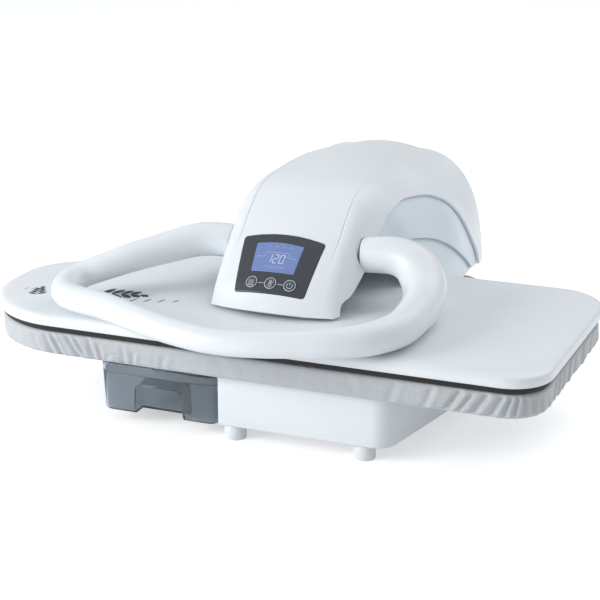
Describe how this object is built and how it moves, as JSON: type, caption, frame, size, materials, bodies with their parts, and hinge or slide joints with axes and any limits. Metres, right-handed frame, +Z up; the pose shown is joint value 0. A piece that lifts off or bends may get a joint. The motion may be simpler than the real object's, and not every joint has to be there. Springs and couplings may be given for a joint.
{
  "type": "steam ironing press",
  "caption": "Steam ironing press: a padded board on a base box, a heated plate under a hinged lever head with a loop handle, keys with a display, and a slide-out water tank.",
  "frame": {"origin": "on the floor plane, under the middle of the press's bounding box", "axes": "+X along the board to the operator's right, +Y to the back where the head is hinged, +Z up"},
  "size_m": [0.6372, 0.5418, 0.2385],
  "materials": {
    "gloss_white_plastic": "glossy",
    "hood_grey_plastic": "glossy",
    "panel_charcoal": "glossy",
    "key_grey": "satin",
    "display_blue": "glossy",
    "nonstick_black": "black non-stick coat",
    "board_panel": "satin",
    "cover_cloth": "woven, metallised",
    "foam_grey": "felted",
    "tank_smoke": "clear, smoke tint",
    "steel_plated": "plated",
    "brass_plain": "plain",
    "rubber_black": "matte",
    "circuit_green": "satin",
    "insulation_buff": "felted",
    "inner_white_plastic": "satin"
  },
  "bodies": {
    "base": {"base_shell": "gloss_white_plastic", "base_plate": "steel_plated", "board_panel": "board_panel", "pad_foam": "foam_grey", "pad_cover": "cover_cloth", "water_pump": "inner_white_plastic", "feed_hose": "rubber_black", "valve_socket": "inner_white_plastic", "power_board": "circuit_green", "cord_gland": "rubber_black", "tank_rail_left": "steel_plated", "tank_rail_right": "steel_plated", "hinge_bracket_left": "steel_plated", "hinge_bracket_right": "steel_plated", "hinge_axle": "steel_plated", "lift_spring_left": "steel_plated", "lift_spring_right": "steel_plated", "link_anchor": "steel_plated", "foot_front_left": "gloss_white_plastic", "foot_front_right": "gloss_white_plastic", "foot_rear_left": "gloss_white_plastic", "foot_rear_right": "gloss_white_plastic", "foot_pad_front_left": "rubber_black", "foot_pad_front_right": "rubber_black", "foot_pad_rear_left": "rubber_black", "foot_pad_rear_right": "rubber_black"},
    "head": {"head_shell": "gloss_white_plastic", "control_panel": "panel_charcoal", "display_window": "display_blue", "control_board": "circuit_green", "upper_hood": "hood_grey_plastic", "lever_arm": "steel_plated", "pivot_pin": "steel_plated"},
    "key_steam": {"key_steam": "key_grey"},
    "key_heat": {"key_heat": "key_grey"},
    "key_power": {"key_power": "key_grey"},
    "plate": {"sole_plate": "nonstick_black", "plate_carrier": "nonstick_black", "plate_casing": "gloss_white_plastic", "heating_element": "steel_plated", "steam_chamber": "steel_plated", "steam_inlet": "brass_plain", "insulation_sheet": "insulation_buff", "thermostat": "brass_plain", "thermal_fuse": "inner_white_plastic", "plate_bracket": "steel_plated", "plate_saddle_left": "hood_grey_plastic", "plate_saddle_right": "hood_grey_plastic"},
    "handle": {"handle_loop": "gloss_white_plastic", "hub_disc_left": "gloss_white_plastic", "hub_disc_right": "gloss_white_plastic", "handle_shaft": "steel_plated", "handle_crank": "steel_plated"},
    "pressure_link": {"pressure_link": "steel_plated"},
    "water_tank": {"water_tank": "tank_smoke", "tank_lid": "tank_smoke", "filler_cap": "inner_white_plastic"}
  },
  "joints": [
    {"name": "head_lift", "type": "hinge", "parent": "base", "child": "head", "pos_m": [0.00139, 0.20486, 0.1], "axis": [-1, 0, 0], "range_deg": [0, 30]},
    {"name": "handle_swing", "type": "hinge", "parent": "head", "child": "handle", "pos_m": [0.00139, -0.05414, 0.168], "axis": [-1, 0, 0], "range_deg": [0, 37.5]},
    {"name": "link_pivot", "type": "hinge", "parent": "handle", "child": "pressure_link", "pos_m": [0.00139, -0.06167, 0.18867], "axis": [-1, 0, 0], "range_deg": [-34.5, 0]},
    {"name": "plate_tilt", "type": "hinge", "parent": "head", "child": "plate", "pos_m": [0.00139, -0.07414, 0.14], "axis": [-1, 0, 0], "range_deg": [0, 1.2]},
    {"name": "tank_slide", "type": "slide", "parent": "base", "child": "water_tank", "axis": [0, -1, 0], "range_m": [0, 0.12]},
    {"name": "key_steam_press", "type": "slide", "parent": "head", "child": "key_steam", "axis": [0, 0.6933, -0.7207], "range_m": [0, 0.0008], "stiffness_N_per_m": 300, "springref_m": -0.002},
    {"name": "key_heat_press", "type": "slide", "parent": "head", "child": "key_heat", "axis": [0, 0.6933, -0.7207], "range_m": [0, 0.0008], "stiffness_N_per_m": 300, "springref_m": -0.002},
    {"name": "key_power_press", "type": "slide", "parent": "head", "child": "key_power", "axis": [0, 0.6933, -0.7207], "range_m": [0, 0.0008], "stiffness_N_per_m": 300, "springref_m": -0.002}
  ],
  "couplings": [
    {"joint": "handle_swing", "follows": "head_lift", "ratio": 1.25},
    {"joint": "link_pivot", "follows": "head_lift", "ratio": -1.145},
    {"joint": "plate_tilt", "follows": "head_lift", "ratio": 0.04}
  ]
}
